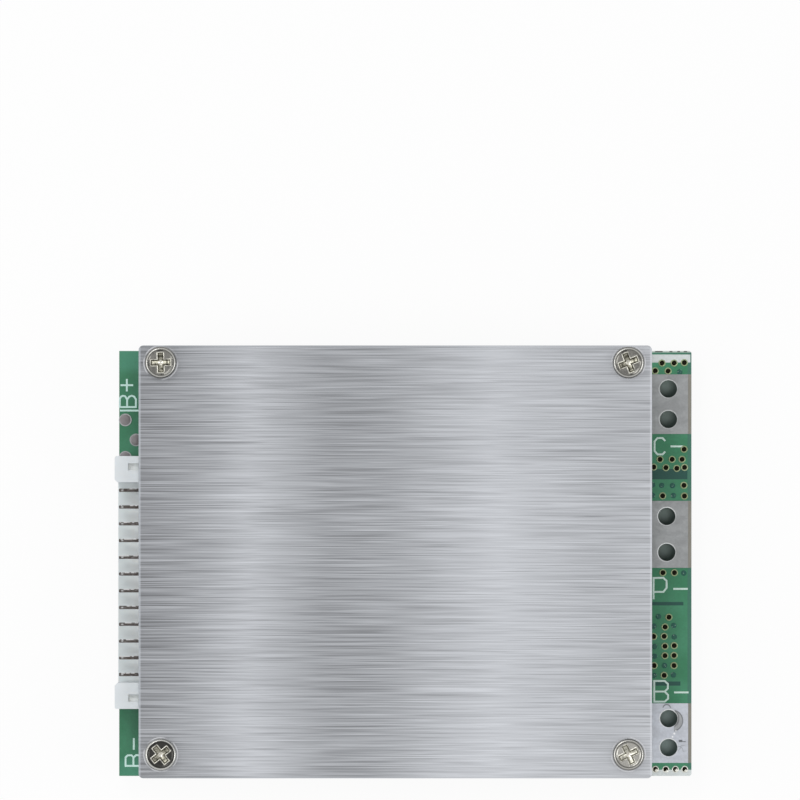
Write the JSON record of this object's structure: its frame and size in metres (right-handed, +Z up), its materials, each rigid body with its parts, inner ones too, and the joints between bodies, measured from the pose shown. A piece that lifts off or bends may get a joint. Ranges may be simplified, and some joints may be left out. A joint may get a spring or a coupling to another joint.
{
  "type": "battery management board",
  "caption": "Battery protection board with a brushed heat spreader plate over its power transistors, a side-entry cell header and tinned terminals with plated holes.",
  "frame": {"origin": "middle of the whole object in plan, on the surface that the four nuts stand on", "axes": "+X along the board from the cell header to the terminals, +Y from the B- end of the board towards the C- end, +Z up through the heat spreader plate"},
  "size_m": [0.086, 0.0644, 0.0137],
  "materials": {
    "brushed_plate": "brushed along its length",
    "laminate": "green solder mask, satin gloss",
    "tinned_copper": "hot-tinned, slightly dull",
    "white_nylon": "moulded, satin",
    "tinned_brass": "tinned, dull",
    "nickel_steel": "nickel plated, bright",
    "nickel_brass": "nickel plated, satin",
    "silicone": "soft, matte",
    "black_epoxy": "moulded epoxy, fine matte",
    "tinned_leadframe": "tinned",
    "end_cap_tin": "tinned",
    "ceramic": "sintered, satin",
    "resistor_glaze": "glazed, black",
    "shunt_alloy": "coated metal strip"
  },
  "bodies": {
    "root": {"b_terminal": "tinned_copper", "balance_resistor_bodies": "resistor_glaze", "balance_resistor_caps": "end_cap_tin", "balance_transistor_bodies": "black_epoxy", "balance_transistor_leads": "tinned_leadframe", "c_terminal": "tinned_copper", "charge_mosfet_1_body": "black_epoxy", "charge_mosfet_1_leadframe": "tinned_leadframe", "charge_mosfet_2_body": "black_epoxy", "charge_mosfet_2_leadframe": "tinned_leadframe", "charge_mosfet_3_body": "black_epoxy", "charge_mosfet_3_leadframe": "tinned_leadframe", "charge_thermal_pad": "silicone", "circuit_board": "laminate", "current_shunt_bodies": "shunt_alloy", "current_shunt_caps": "end_cap_tin", "discharge_mosfet_1_body": "black_epoxy", "discharge_mosfet_1_leadframe": "tinned_leadframe", "discharge_mosfet_2_body": "black_epoxy", "discharge_mosfet_2_leadframe": "tinned_leadframe", "discharge_mosfet_3_body": "black_epoxy", "discharge_mosfet_3_leadframe": "tinned_leadframe", "discharge_mosfet_4_body": "black_epoxy", "discharge_mosfet_4_leadframe": "tinned_leadframe", "discharge_mosfet_5_body": "black_epoxy", "discharge_mosfet_5_leadframe": "tinned_leadframe", "discharge_thermal_pad": "silicone", "driver_chip_bodies": "black_epoxy", "driver_chip_leads": "tinned_leadframe", "filter_capacitor_bodies": "ceramic", "filter_capacitor_caps": "end_cap_tin", "filter_resistor_bodies": "resistor_glaze", "filter_resistor_caps": "end_cap_tin", "gate_resistor_bodies": "resistor_glaze", "gate_resistor_caps": "end_cap_tin", "header_housing": "white_nylon", "header_pins": "tinned_brass", "header_tabs": "tinned_brass", "heat_spreader_plate": "brushed_plate", "hex_nuts": "nickel_steel", "logic_chip_bodies": "black_epoxy", "logic_chip_leads": "tinned_leadframe", "monitor_chip_bodies": "black_epoxy", "monitor_chip_leads": "tinned_leadframe", "p_terminal": "tinned_copper", "plate_screws": "nickel_steel", "power_capacitor_bodies": "ceramic", "power_capacitor_caps": "end_cap_tin", "power_tracks": "tinned_copper", "spacers": "nickel_brass", "surge_diode_body": "black_epoxy", "surge_diode_straps": "tinned_leadframe", "wire_pads": "tinned_copper"}
  },
  "joints": []
}
